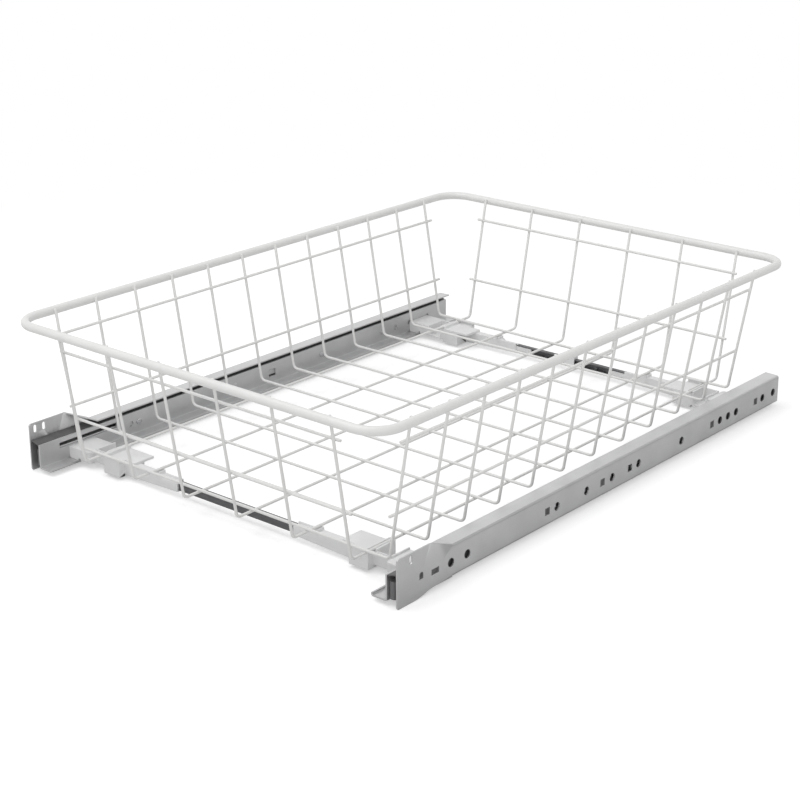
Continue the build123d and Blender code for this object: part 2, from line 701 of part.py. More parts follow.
def bracket(end_wire):
    """Right bracket: sleeve at the bar's end, deep block under the outer wire, arm on the foot.

    It is drawn with the shared face at Y = 0 and its depth along +Y; end_wire is the depth of the
    basket's end cross wire from that face.
    """
    back = BRACKET_DEPTH
    dip = SLEEVE_TOP - DIP_DEPTH
    face = polygon(
        (BRACKET_TIP, SLEEVE_BOTTOM),
        (BLOCK_INNER, SLEEVE_LOW),
        (BLOCK_INNER, SLEEVE_TOP),
        (DIP_END, SLEEVE_TOP),
        (DIP_END - DIP_DEPTH, dip),
        (BRACKET_TIP, dip),
    )
    body = along_depth(face, 0, SLEEVE_DEPTH)
    body += box((BRACKET_TIP, DIP_END), (SLEEVE_DEPTH - BRACKET_WALL, SLEEVE_DEPTH), (dip, SLEEVE_TOP))
    pad = (SECOND_WIRE_X - PAD_WIDTH / 2, SECOND_WIRE_X + PAD_WIDTH / 2)
    body += box(pad, (0, SLEEVE_DEPTH), (SLEEVE_TOP, BRACKET_TOP))
    body += box((TABLE_TIP, BLOCK_INNER), (0, back), (SLEEVE_TOP, BRACKET_TOP))

    wall = BRACKET_WALL
    body += box((BLOCK_INNER, BLOCK_OUTER), (-BLOCK_PROUD, back), (BLOCK_BOTTOM, BRACKET_TOP))
    hollow_x = (BLOCK_INNER + wall, BLOCK_OUTER - wall)
    body -= box(hollow_x, (wall - BLOCK_PROUD, back - wall), (BLOCK_BOTTOM, BRACKET_TOP - wall))

    body += box((BLOCK_OUTER, ARM_STEP), (0, back), (FOOT_TOP, BRACKET_TOP))
    arm = box((ARM_STEP, WEB_INNER), (-BLOCK_PROUD, back), (FOOT_TOP, ARM_TOP))
    body += chamfer(arm.edges().filter_by(Axis.Z).group_by(Axis.X)[0].sort_by(Axis.Y)[:1], ARM_CHAMFER)
    pocket_inner = OUTER_WIRE_X + WIRE / 2 + WIRE_PLAY + RIB_THICKNESS
    body -= box((pocket_inner, ARM_STEP - wall), (wall, back), (POCKET_FLOOR, BRACKET_TOP))

    body -= box((WEB_INNER - ARM_RELIEF, WEB_INNER), (-BLOCK_PROUD, back), (FOOT_TOP, FOOT_TOP + ARM_RELIEF))
    lip = foot_edge()
    notch = (lip - WEB_SHEET / 2 - WIRE_PLAY, lip + WEB_SHEET / 2 + WIRE_PLAY)
    body -= box(notch, (-BLOCK_PROUD, back), (FOOT_TOP, FOOT_TOP + FOOT_LIP + WIRE_PLAY))

    rib_start = max(-BLOCK_PROUD, end_wire + WIRE / 2 + WIRE_PLAY)
    clear = WIRE / 2 + WIRE_PLAY
    inner_rib = (OUTER_WIRE_X - clear - RIB_THICKNESS, OUTER_WIRE_X - clear)
    outer_rib = (OUTER_WIRE_X + clear, OUTER_WIRE_X + clear + RIB_THICKNESS)
    body += box(inner_rib, (rib_start, back), (BRACKET_TOP, RIB_TOP))
    body += box(outer_rib, (0, back), (BRACKET_TOP, RIB_TOP - RIB_THICKNESS / 2))
    body += box((BLOCK_INNER, inner_rib[1]), (-BLOCK_PROUD, wall - BLOCK_PROUD), (BRACKET_TOP, RIB_TOP))

    tongue_y = (wall + BAR_SHEET + 2 * BAR_GROOVE, wall + BAR_DEPTH)
    tongue_z = (BAR_TOP - BAR_HEIGHT + BAR_SHEET + BAR_FIT, BAR_TOP - BAR_SHEET - BAR_FIT)
    body += box((BRACKET_TIP - BAR_TONGUE, BRACKET_TIP), tongue_y, tongue_z)
    return body


def drilled(body):
    """Takes the foot screws' shanks out of a bracket."""
    for drill in foot_screw_drills():
        body -= drill
    return body


def front_bracket():
    """Bracket at the front right."""
    end_wire = cross_wire_places()[0] - FRONT_FACE
    return drilled(Pos(0, FRONT_FACE, 0) * bracket(end_wire))


def rear_bracket():
    """Bracket at the back right, the front one turned to face backwards."""
    end_wire = REAR_FACE - cross_wire_places()[-1]
    return drilled(Pos(0, REAR_FACE, 0) * mirror(bracket(end_wire), about=Plane.XZ))


def wire_clip():
    """Moulded clip astride the middle of the rear bar."""
    web = REAR_FACE - BRACKET_WALL
    mouth = web - BAR_DEPTH
    low = BAR_TOP - BAR_HEIGHT
    half = CLIP_WIDTH / 2
    clip = box((-half, half), (mouth - CLIP_WALL, web + CLIP_WALL), (low, BAR_TOP + CLIP_RISE))
    return clip - box((-half, half), (mouth - BAR_FIT, web + BAR_FIT), (low, BAR_TOP + BAR_FIT))


# ---------------------------------------------------------------- writing the pieces
def main():
    os.makedirs("parts", exist_ok=True)
    write("cabinet_plate_right", cabinet_plate(NOSE_SLOTS_RIGHT))
    write("cabinet_plate_left", mirror(cabinet_plate(NOSE_SLOTS_LEFT), about=Plane.YZ))
    both_sides("roof_rail", roof_rail())
    both_sides("outer_rail", outer_rail())
    both_sides("middle_rail", middle_rail())
    both_sides("inner_rail", inner_rail())
    for name, maker in (("outer", outer_cage), ("inner", inner_cage)):
        strip, balls = maker()
        both_sides(name + "_cage", strip)
        both_sides(name + "_balls", Compound(children=balls))
    both_sides("drawer_member", drawer_member())
    both_sides("front_bumper", front_bumper())
    both_sides("front_bracket", front_bracket())
    both_sides("rear_bracket", rear_bracket())
    both_sides("rail_rivets", Compound(children=rail_rivets()))
    write("bracket_screws", bracket_screws())
    write("front_bar", front_bar())
    write("rear_bar", rear_bar())
    write("wire_clip", wire_clip())
    write("rim", rim())
    write("cross_wires", cross_wires())
    write("long_wires", long_wires())
    write("side_bands", side_bands())
    write("end_bands", end_bands())


main()
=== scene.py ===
"""Pull-out wire basket on ball runners: finishes, smooth wires, small fasteners and the studio."""

import math

import bpy
from bpy.props import FloatProperty, FloatVectorProperty, PointerProperty
from mathutils import Matrix, Vector


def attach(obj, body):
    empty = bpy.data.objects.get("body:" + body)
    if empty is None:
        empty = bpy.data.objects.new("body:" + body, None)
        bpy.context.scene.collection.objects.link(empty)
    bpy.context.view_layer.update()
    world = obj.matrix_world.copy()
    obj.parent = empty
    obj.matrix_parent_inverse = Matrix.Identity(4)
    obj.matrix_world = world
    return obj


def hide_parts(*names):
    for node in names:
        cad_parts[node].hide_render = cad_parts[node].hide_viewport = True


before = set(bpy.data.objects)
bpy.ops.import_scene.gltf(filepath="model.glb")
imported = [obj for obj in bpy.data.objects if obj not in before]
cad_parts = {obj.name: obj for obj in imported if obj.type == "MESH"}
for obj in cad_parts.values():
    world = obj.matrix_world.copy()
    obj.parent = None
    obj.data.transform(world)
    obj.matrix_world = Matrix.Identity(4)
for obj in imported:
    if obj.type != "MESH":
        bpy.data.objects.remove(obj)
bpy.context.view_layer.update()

bl_info = {
    "name": "Pull-out Cabinet Basket",
    "version": (1, 0, 0),
    "blender": (4, 5, 0),
    "location": "View3D > Sidebar > Basket",
    "description": "Dresses a pull-out wire basket and its ball runners",
    "category": "Object",
}

# Sizes are in metres and angles in degrees, unless a comment says otherwise
MM = 0.001
SIDES = ("right", "left")
RIM_RADIUS = 0.00375
WIRE_RADIUS = 0.00125


# ---------------------------------------------------------------- sizes and colours to set
class BasketFinish(bpy.types.PropertyGroup):
    """Wires of the basket, their coating and the colour of the moulded brackets."""

    coat: FloatVectorProperty(
        name="Coat", description="Colour of the wire coating", subtype="COLOR", default=(0.80, 0.80, 0.79)
    )
    coat_roughness: FloatProperty(
        name="Coat roughness", description="Roughness of the wire coating", default=0.32, min=0, max=1
    )
    rim_thickness: FloatProperty(
        name="Rim wire",
        description="Thickness of the wire round the mouth",
        default=2 * RIM_RADIUS,
        unit="LENGTH",
    )
    wire_thickness: FloatProperty(
        name="Wire", description="Thickness of the other wires", default=2 * WIRE_RADIUS, unit="LENGTH"
    )
    moulding: FloatVectorProperty(
        name="Moulding", description="Colour of the brackets", subtype="COLOR", default=(0.80, 0.80, 0.80)
    )


class RunnerFinish(bpy.types.PropertyGroup):
    """Colours of the steel of the runners and the bars."""

    zinc: FloatVectorProperty(
        name="Zinc", description="Colour of the zinc plating", subtype="COLOR", default=(0.60, 0.60, 0.604)
    )
    zinc_roughness: FloatProperty(
        name="Zinc roughness", description="Roughness of the zinc plating", default=0.34, min=0, max=1
    )
    bar: FloatVectorProperty(
        name="Bar", description="Colour of the cross bars", subtype="COLOR", default=(0.12, 0.12, 0.125)
    )


class StageSettings(bpy.types.PropertyGroup):
    """Lights of the studio."""

    key: FloatProperty(name="Key", description="Power of the large top light", default=22.0, unit="POWER")
    fill: FloatProperty(name="Fill", description="Power of the front light", default=9.0, unit="POWER")
    ambient: FloatProperty(name="Ambient", description="Strength of the even light", default=0.55)


# ---------------------------------------------------------------- materials
# painted shade: a dark grey for the ball rails, which lie in the shade inside the runners
PAINTED_SHADE_STEEL = (0.13, 0.13, 0.13)
BRIGHT_PLATING = (0.55, 0.55, 0.56)
STOP_RUBBER = (0.03, 0.03, 0.03)
# painted shade: a dark grey for the front bumpers, which sit in the shade inside the runners' fronts
BUMPER_PAINTED_SHADE = (0.16, 0.16, 0.165)
COAT_WEAR = 0.1  # how much rougher the coat gets in places
ZINC_WEAR = 0.14
ALONG_RAIL = (1, 0.02, 1)  # stretch of the rolling lines, which run from front to back
# stretch of the rolling lines on the rails with the painted shade
ALONG_SHADED_RAIL = (1, 0.03, 1)
GLOW_DEPTH = 0.002  # how far light goes into the moulded plastic


def new_material(name):
    """A new node material and its Principled shader."""
    material = bpy.data.materials.new(name)
    material.use_nodes = True
    shader = material.node_tree.nodes["Principled BSDF"]
    return material, shader


def add_node(owner, kind, **settings):
    """Adds a node to a material or world and sets its plain attributes."""
    node = owner.node_tree.nodes.new(kind)
    for key, value in settings.items():
        setattr(node, key, value)
    return node


def link(owner, source, target):
    """Joins two sockets of a material or world."""
    owner.node_tree.links.new(source, target)


def noise(material, scale, stretch=(1, 1, 1), detail=3.0):
    """Noise on Object coordinates, stretched along the axes."""
    place = add_node(material, "ShaderNodeTexCoord")
    mapping = add_node(material, "ShaderNodeMapping")
    mapping.inputs["Scale"].default_value = stretch
    texture = add_node(material, "ShaderNodeTexNoise")
    texture.inputs["Scale"].default_value = scale
    texture.inputs["Detail"].default_value = detail
    link(material, place.outputs["Object"], mapping.inputs["Vector"])
    link(material, mapping.outputs["Vector"], texture.inputs["Vector"])
    return texture.outputs["Fac"]


def vary_colour(material, shader, colour, pattern, spread):
    """Colour that drifts by a share of itself with a pattern."""
    ramp = add_node(material, "ShaderNodeValToRGB")
    low, high = ramp.color_ramp.elements
    low.position = 0.3
    high.position = 0.7
    low.color = [c * (1 - spread) for c in colour] + [1]
    high.color = [min(1, c * (1 + spread)) for c in colour] + [1]
    link(material, pattern, ramp.inputs["Fac"])
    link(material, ramp.outputs["Color"], shader.inputs["Base Color"])


def vary_roughness(material, shader, low, high, pattern):
    """Roughness between two values with a pattern."""
    spread = add_node(material, "ShaderNodeMapRange")
    spread.inputs["To Min"].default_value = low
    spread.inputs["To Max"].default_value = high
    link(material, pattern, spread.inputs["Value"])
    link(material, spread.outputs["Result"], shader.inputs["Roughness"])


def add_bump(material, shader, pattern, height, strength):
    """Fine relief from a pattern."""
    bump = add_node(material, "ShaderNodeBump")
    bump.inputs["Distance"].default_value = height
    bump.inputs["Strength"].default_value = strength
    link(material, pattern, bump.inputs["Height"])
    link(material, bump.outputs["Normal"], shader.inputs["Normal"])


def coated_wire():
    """Thick white powder coat: soft gloss and a very fine orange peel."""
    finish = bpy.context.scene.basket_finish
    rough = finish.coat_roughness
    material, shader = new_material("white_powder_coat")
    vary_colour(material, shader, finish.coat, noise(material, scale=60), spread=0.02)
    vary_roughness(material, shader, rough, rough + COAT_WEAR, noise(material, scale=400))
    add_bump(material, shader, noise(material, scale=1800), height=0.00004, strength=0.25)
    shader.inputs["Coat Weight"].default_value = 0.15
    shader.inputs["Coat Roughness"].default_value = 0.2
    return material


def zinc_sheet():
    """Satin zinc-plated sheet with the fine lengthwise lines of cold rolling."""
    finish = bpy.context.scene.runner_finish
    rough = finish.zinc_roughness
    material, shader = new_material("satin_zinc_sheet")
    lines = noise(material, scale=900, stretch=ALONG_RAIL, detail=2.0)
    vary_colour(material, shader, finish.zinc, noise(material, scale=35), spread=0.05)
    vary_roughness(material, shader, rough, rough + ZINC_WEAR, lines)
    add_bump(material, shader, lines, height=0.00003, strength=0.3)
    shader.inputs["Metallic"].default_value = 0.85
    return material


def painted_shade_rail():
    """Ball rails given a dark grey that is painted shade, for the shade inside the runners, and dulled."""
    material, shader = new_material("painted_shade_rail")
    lines = noise(material, scale=700, stretch=ALONG_SHADED_RAIL, detail=2.0)
    vary_colour(material, shader, PAINTED_SHADE_STEEL, noise(material, scale=60), spread=0.15)
    vary_roughness(material, shader, low=0.45, high=0.62, pattern=lines)
    add_bump(material, shader, lines, height=0.00003, strength=0.3)
    shader.inputs["Metallic"].default_value = 0.4
    return material


def bright_steel():
    """Bright plated steel of cages, balls and fasteners."""
    material, shader = new_material("bright_plated_steel")
    vary_colour(material, shader, BRIGHT_PLATING, noise(material, scale=120), spread=0.06)
    vary_roughness(material, shader, low=0.22, high=0.34, pattern=noise(material, scale=700))
    shader.inputs["Metallic"].default_value = 1.0
    return material


def dark_bar():
    """Dark satin paint of the folded cross bars."""
    finish = bpy.context.scene.runner_finish
    material, shader = new_material("dark_satin_paint")
    vary_colour(material, shader, finish.bar, noise(material, scale=80), spread=0.08)
    vary_roughness(material, shader, low=0.38, high=0.5, pattern=noise(material, scale=500))
    add_bump(material, shader, noise(material, scale=1400), height=0.00003, strength=0.3)
    shader.inputs["Metallic"].default_value = 0.3
    return material


def moulded_plastic(name, colour):
    """Matt moulded plastic with a fine spark-eroded grain."""
    material, shader = new_material(name)
    vary_colour(material, shader, colour, noise(material, scale=70), spread=0.02)
    vary_roughness(material, shader, low=0.45, high=0.6, pattern=noise(material, scale=600))
    add_bump(material, shader, noise(material, scale=2200), height=0.00004, strength=0.35)
    shader.inputs["Subsurface Weight"].default_value = 0.05
    shader.inputs["Subsurface Radius"].default_value = (GLOW_DEPTH, GLOW_DEPTH, GLOW_DEPTH)
    return material


def dress(node, material):
    """Gives a CAD node its finish."""
    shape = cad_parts[node]
    shape.data.materials.clear()
    shape.data.materials.append(material)


# ---------------------------------------------------------------- modelling
TOUCH = 0.00002  # how far a wire is sunk into the one it is welded to
SEAM = TOUCH / 2  # vertices of a drawn wire closer than this are one
MERGE = TOUCH / 4  # and so are those of a copied solid

# Angles up to which faces are shaded as one
WIRE_SMOOTH = 35
SHEET_SMOOTH = 30
MOULDING_SMOOTH = 40
BEAD_SMOOTH = 80
FOLD_SMOOTH = 20


def deselect():
    """Nothing is selected before a new piece is started."""
    bpy.ops.object.select_all(action="DESELECT")


def edit(piece):
    """Opens one piece in edit mode with everything in it selected."""
    deselect()
    piece.select_set(True)
    bpy.context.view_layer.objects.active = piece
    bpy.ops.object.mode_set(mode="EDIT")
    bpy.ops.mesh.select_mode(type="VERT")
    bpy.ops.mesh.select_all(action="SELECT")


def close(piece, smooth=WIRE_SMOOTH):
    """Leaves edit mode with the faces outward, the place in the mesh and soft shading."""
    bpy.ops.mesh.select_all(action="SELECT")
    bpy.ops.mesh.normals_make_consistent(inside=False)
    bpy.ops.object.mode_set(mode="OBJECT")
    bpy.ops.object.transform_apply(location=True, rotation=True, scale=True)
    bpy.ops.object.shade_smooth_by_angle(angle=math.radians(smooth))
    return piece


def pick(piece, test):
    """Selects the vertices of an open piece whose place passes a test."""
    bpy.ops.mesh.select_all(action="DESELECT")
    bpy.ops.object.mode_set(mode="OBJECT")
    for vertex in piece.data.vertices:
        vertex.select = test(vertex.co)
    bpy.ops.object.mode_set(mode="EDIT")
    bpy.ops.mesh.select_mode(type="VERT")


def joined(pieces):
    """Joins pieces into the first one's mesh."""
    deselect()
    for piece in pieces:
        piece.select_set(True)
    bpy.context.view_layer.objects.active = pieces[0]
    bpy.ops.object.join()
    return pieces[0]


def copied(piece, name, move=(0, 0, 0), flip=False):
    """A copy with its own mesh, moved or mirrored across the basket."""
    mesh = piece.data.copy()
    twin = bpy.data.objects.new(name, mesh)
    bpy.context.scene.collection.objects.link(twin)
    mesh.transform(Matrix.Translation(move))
    if flip:
        mesh.transform(Matrix.Diagonal((-1, 1, 1, 1)))
        mesh.flip_normals()
    return twin


def copied_solid(node, name):
    """A CAD node's copy, open in edit mode with its loose triangles merged."""
    piece = copied(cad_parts[node], name)
    edit(piece)
    bpy.ops.mesh.remove_doubles(threshold=MERGE)
    return piece


def finish_piece(piece, material, body, *nodes):
    """Finish, body and the CAD node that a new piece stands for."""
    piece.data.materials.clear()
    piece.data.materials.append(material)
    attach(piece, body)
    if nodes:
        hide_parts(*nodes)
    return piece


# ---------------------------------------------------------------- the basket's wires
RIM_Z = 0.138
RIM_HALF = (0.20105, 0.28705)  # half the rim's width and depth, to the middle of its wire
RIM_BEND = 0.02425
FLOOR_X, FLOOR_Y = 0.175, 0.2595  # half the floor's width and depth, to the corners of its wires
FLOOR_SHIFT = -0.0023  # the floor sits a little towards the front
CROSS_Z = 0.0211
LONG_Z = 0.01862
WALL_BEND = 0.0048
TIP_Z = 0.1402
CROSS_COUNT, CROSS_PITCH, CROSS_MIDDLE = 12, 0.0439, -0.005
LONG_COUNT, LONG_PITCH = 6, 0.0601
BANDS = (0.0581, 0.1196)  # heights of the wires along the walls
BAND_REACH = (0.24645, 0.15525)  # half the length of the side and the end bands

WIRE_SIDES, BEND_STEPS = 14, 6
RIM_SIDES, RIM_BEND_STEPS = 24, 12
LEAN_GUESS, LEAN_ROUNDS = 0.2, 5  # in radians

# Shares of the wire's thickness
CUT_ROUND = 0.16
BEAD_RADIUS, BEAD_LENGTH, BEAD_ROUND = 0.42, 0.62, 0.14
BEAD_SIDES = 8


def draw_wire(name, points, thickness, bend=0, sides=WIRE_SIDES, steps=BEND_STEPS, closed=False):
    """A round wire: a ring drawn out along each run and spun round each corner, its ends rounded."""
    points = [Vector(point) for point in points]
    heading = (points[1] - points[0]).normalized()
    deselect()
    bpy.ops.mesh.primitive_circle_add(
        vertices=sides,
        radius=thickness / 2,
        location=points[0],
        rotation=heading.to_track_quat("Z", "Y").to_euler(),
    )
    wire = bpy.context.object
    wire.name = name
    edit(wire)
    here = points[0]
    for corner, after in zip(points[1:-1], points[2:]):
        leaving = (after - corner).normalized()
        turn = heading.angle(leaving)
        start = corner - heading * bend * math.tan(turn / 2)
        bpy.ops.mesh.extrude_region_move(TRANSFORM_OT_translate={"value": start - here})
        centre = start + (leaving - heading * math.cos(turn)).normalized() * bend
        bpy.ops.mesh.spin(steps=steps, angle=-turn, center=centre, axis=heading.cross(leaving))
        here = corner + leaving * bend * math.tan(turn / 2)
        heading = leaving
    bpy.ops.mesh.extrude_region_move(TRANSFORM_OT_translate={"value": points[-1] - here})
    bpy.ops.mesh.select_all(action="SELECT")
    bpy.ops.mesh.remove_doubles(threshold=SEAM)
    if not closed:
        bpy.ops.mesh.fill_holes(sides=0)
        bpy.ops.mesh.select_mode(type="FACE")
        bpy.ops.mesh.select_all(action="DESELECT")
        bpy.ops.mesh.select_face_by_sides(number=4, type="GREATER")
        bpy.ops.mesh.bevel(offset=thickness * CUT_ROUND, segments=2, affect="EDGES")
    return close(wire)


def upright(rim_half, floor_half, floor_z, height):
    """Half width of a leaning upright at a height, and its lean, so that it touches the rim's inner side."""
    contact = RIM_RADIUS + WIRE_RADIUS - TOUCH
    lean = LEAN_GUESS
    for _ in range(LEAN_ROUNDS):
        lean = math.atan2(rim_half - floor_half - contact / math.cos(lean), RIM_Z - floor_z)
    return floor_half + math.tan(lean) * (height - floor_z), lean


def side_upright(height):
    """Half width of the side walls' uprights."""
    return upright(RIM_HALF[0], FLOOR_X, CROSS_Z, height)


def end_upright(height, side):
    """Distance to the end walls' uprights, in front (-1) or at the back (1)."""
    reach, lean = upright(RIM_HALF[1], FLOOR_Y + side * FLOOR_SHIFT, LONG_Z, height)
    return side * reach, lean


def cross_places():
    """Depths of the cross wires."""
    return [CROSS_MIDDLE + (i - (CROSS_COUNT - 1) / 2) * CROSS_PITCH for i in range(CROSS_COUNT)]


def long_places():
    """Places of the long wires across the basket."""
    return [(i - (LONG_COUNT - 1) / 2) * LONG_PITCH for i in range(LONG_COUNT)]


def draw_rim(thickness):
    """The closed frame wire round the mouth."""
    x, y = RIM_HALF
    loop = [(0, -y), (x, -y), (x, y), (-x, y), (-x, -y), (0, -y)]
    points = [(a, b, RIM_Z) for a, b in loop]
    return draw_wire("rim_wire", points, thickness, RIM_BEND, RIM_SIDES, RIM_BEND_STEPS, closed=True)


def draw_cross_wires(thickness):
    """Twelve U wires across, the first one drawn and the others copied."""
    reach, _ = side_upright(TIP_Z)
    first, *others = cross_places()
    points = [
        (-reach, first, TIP_Z),
        (-FLOOR_X, first, CROSS_Z),
        (FLOOR_X, first, CROSS_Z),
        (reach, first, TIP_Z),
    ]
    wire = draw_wire("cross_wire_1", points, thickness, WALL_BEND)
    return [wire] + [copied(wire, f"cross_wire_{i}", (0, y - first, 0)) for i, y in enumerate(others, 2)]


def draw_long_wires(thickness):
    """Six U wires from front to back, the first one drawn and the others copied."""
    front, _ = end_upright(TIP_Z, -1)
    back, _ = end_upright(TIP_Z, 1)
    first, *others = long_places()
    points = [
        (first, front, TIP_Z),
        (first, FLOOR_SHIFT - FLOOR_Y, LONG_Z),
        (first, FLOOR_SHIFT + FLOOR_Y, LONG_Z),
        (first, back, TIP_Z),
    ]
    wire = draw_wire("long_wire_1", points, thickness, WALL_BEND)
    return [wire] + [copied(wire, f"long_wire_{i}", (x - first, 0, 0)) for i, x in enumerate(others, 2)]


def draw_bands(thickness):
    """Two straight wires on the inside of each wall."""
    side_bands, end_bands = [], []
    for level, height in enumerate(BANDS):
        reach, lean = side_upright(height)
        x = reach - (thickness - TOUCH) / math.cos(lean)
        points = [(x, CROSS_MIDDLE + end * BAND_REACH[0], height) for end in (-1, 1)]
        wire = draw_wire(f"side_band_{level}_right", points, thickness)
        side_bands += [wire, copied(wire, f"side_band_{level}_left", (-2 * x, 0, 0))]
        for side, word in ((-1, "front"), (1, "back")):
            reach, lean = end_upright(height, side)
            y = reach - side * (thickness - TOUCH) / math.cos(lean)
            points = [(end * BAND_REACH[1], y, height) for end in (-1, 1)]
            end_bands.append(draw_wire(f"end_band_{level}_{word}", points, thickness))
    return side_bands, end_bands


def weld_places(thickness):
    """Where two wires touch: on the floor, at the bands and at the rim."""
    places = [(x, y, (CROSS_Z + LONG_Z) / 2) for x in long_places() for y in cross_places()]
    # the bands lie on the inside of the uprights and the rim on the outside
    for height, outward in [(band, -1) for band in BANDS] + [(RIM_Z, 1)]:
        reach, _ = side_upright(height)
        touch = reach + outward * thickness / 2
        places += [(side * touch, y, height) for side in (-1, 1) for y in cross_places()]
        for side in (-1, 1):
            reach, _ = end_upright(height, side)
            places += [(x, reach + side * outward * thickness / 2, height) for x in long_places()]
    return places


def draw_welds(thickness):
    """Small coated beads where the wires are welded, one drawn and copied, then joined."""
    deselect()
    bpy.ops.mesh.primitive_cylinder_add(
        vertices=BEAD_SIDES, radius=thickness * BEAD_RADIUS, depth=thickness * BEAD_LENGTH
    )
    bead = bpy.context.object
    edit(bead)
    bpy.ops.mesh.bevel(offset=thickness * BEAD_ROUND, segments=1, affect="EDGES")
    close(bead, BEAD_SMOOTH)
    beads = [copied(bead, "bead", place) for place in weld_places(thickness)]
    bpy.data.objects.remove(bead)
    welds = joined(beads)
    welds.name = "weld_beads"
    return welds


# ---------------------------------------------------------------- bars and mouldings
FLAT = 0.5  # faces that meet at a smaller angle are one
SHARP = 40  # edges above this angle are broken
BAR_EDGE = 0.00015
CLIP_EDGE = 0.0002
BRACKET_EDGE = 0.00035
BUMPER_EDGE = 0.0003


def softened(node, name, width):
    """Copy of a CAD node whose sharp edges are broken by a small round."""
    piece = copied_solid(node, name)
    bpy.ops.mesh.dissolve_limited(angle_limit=math.radians(FLAT))
    close(piece, SHEET_SMOOTH)
    bevel = piece.modifiers.new("edge", "BEVEL")
    bevel.width = width
    bevel.segments = 2
    bevel.limit_method = "ANGLE"
    bevel.angle_limit = math.radians(SHARP)
    bpy.ops.object.modifier_apply(modifier=bevel.name)
    edit(piece)
    return close(piece, MOULDING_SMOOTH)


# ---------------------------------------------------------------- the cabinet plates
RUNNER_FRONT = -0.275
PLATE_FACE = 0.207
HOLE_Z = 0.016
HOLE_SIZE = 0.0072
HOLE_SIDES = 32
WINDOW_SIZE = 0.0062
CUT_DEPTH = 0.006
# Distances from the runner's front end, in millimetres
HOLES = (61.5, 81.0, 196.0, 237.0, 274.0, 313.5, 381.0, 445.5, 459.5, 473.5, 521.0, 540.5)
WINDOWS = (183.0, 260.0, 300.5, 432.0, 508.5)

FLANGE_EDGE_X, FLANGE_EDGE_Z = 0.1993, 0.0272  # the flange's edge is inside the one and above the other
FLANGE_REACH, FLANGE_LIFT = 0.0057, 0.0009  # how far that edge is drawn inward and up
NOSE_FOOT, NOSE_TOP = 0.0325, 0.042
NOSE_DROP = {"right": 0.0018, "left": 0.0}  # the nose is pressed this far down, from its foot up
FOLD_FRONT, FOLD_BACK = -0.2372, -0.2118
FOLD_INNER, FOLD_Z = 0.1931, 0.03
FOLD_SINK = 0.0001  # the fold's corners lie this far inside the plate
FOLD_SHEET = 0.001


def hole_cutters():
    """Cutters for the row of screw holes and pin windows of the right plate."""
    parts = []
    for distance in HOLES:
        deselect()
        bpy.ops.mesh.primitive_cylinder_add(
            vertices=HOLE_SIDES,
            radius=HOLE_SIZE / 2,
            depth=CUT_DEPTH,
            location=(PLATE_FACE, RUNNER_FRONT + distance * MM, HOLE_Z),
            rotation=(0, math.pi / 2, 0),
        )
        parts.append(bpy.context.object)
    for distance in WINDOWS:
        deselect()
        bpy.ops.mesh.primitive_cube_add(
            size=1,
            location=(PLATE_FACE, RUNNER_FRONT + distance * MM, HOLE_Z),
            scale=(CUT_DEPTH, WINDOW_SIZE, WINDOW_SIZE),
        )
        parts.append(bpy.context.object)
    return joined(parts)


def draw_plate(side):
    """Plate with the full width of its folded flange, a pressed nose and clean holes."""
    sign = 1 if side == "right" else -1
    plate = copied_solid(f"cabinet_plate_{side}", f"plate_{side}")
    pick(plate, lambda place: abs(place.x) < FLANGE_EDGE_X and place.z > FLANGE_EDGE_Z)
    bpy.ops.transform.translate(value=(-sign * FLANGE_REACH, 0, FLANGE_LIFT))
    pick(plate, lambda place: place.z > NOSE_FOOT)
    bpy.ops.transform.translate(value=(0, 0, -NOSE_DROP[side]))
    close(plate, SHEET_SMOOTH)
    cutter = hole_cutters()
    if side == "left":
        cutter.data.transform(cutter.matrix_world)
        cutter.matrix_world = Matrix.Identity(4)
        cutter.data.transform(Matrix.Diagonal((-1, 1, 1, 1)))
        cutter.data.flip_normals()
    deselect()
    plate.select_set(True)
    bpy.context.view_layer.objects.active = plate
    cut = plate.modifiers.new("holes", "BOOLEAN")
    cut.operation = "DIFFERENCE"
    cut.object = cutter
    cut.solver = "EXACT"
    bpy.ops.object.modifier_apply(modifier=cut.name)
    bpy.data.objects.remove(cutter)
    edit(plate)
    bpy.ops.mesh.remove_doubles(threshold=MERGE)
    return close(plate, SHEET_SMOOTH)


def draw_nose_fold(side):
    """Pressed web between the nose's top and the start of the flange."""
    sign = 1 if side == "right" else -1
    outer = sign * (PLATE_FACE - FOLD_SINK)
    places = [
        (outer, FOLD_FRONT, NOSE_TOP - NOSE_DROP[side] - 2 * FOLD_SINK),
        (outer, FOLD_BACK, FOLD_Z - FOLD_SINK),
        (sign * FOLD_INNER, FOLD_BACK, FOLD_Z + FOLD_SINK),
    ]
    deselect()
    bpy.ops.mesh.primitive_circle_add(vertices=3, fill_type="NGON")
    fold = bpy.context.object
    fold.name = f"nose_fold_{side}"
    for vertex, place in zip(fold.data.vertices, places):
        vertex.co = place
    sheet = fold.modifiers.new("sheet", "SOLIDIFY")
    sheet.thickness = FOLD_SHEET
    sheet.offset = 0
    bpy.ops.object.modifier_apply(modifier=sheet.name)
    edit(fold)
    return close(fold, FOLD_SMOOTH)


# ---------------------------------------------------------------- small pieces of the runners
RIVETS = (112.0, 232.0, 352.0, 444.0)  # from the runner's front end, in millimetres
RIVET_Z = 0.0147
WEB_INNER = 0.1949  # inner face of the drawer member
RIVET_RADIUS, RIVET_HEAD, RIVET_SIDES = 0.003, 0.0008, 24
RIVET_ROUND = 0.0003
CROWN_INSET, CROWN_RAISE = 0.0011, 0.0004
FACE_MARGIN = 0.00005
STOP_PLACE = (0.2034, 0.2698, 0.0147)
STOP_SIZE = (0.0026, 0.0042, 0.0172)
STOP_ROUND = 0.0006


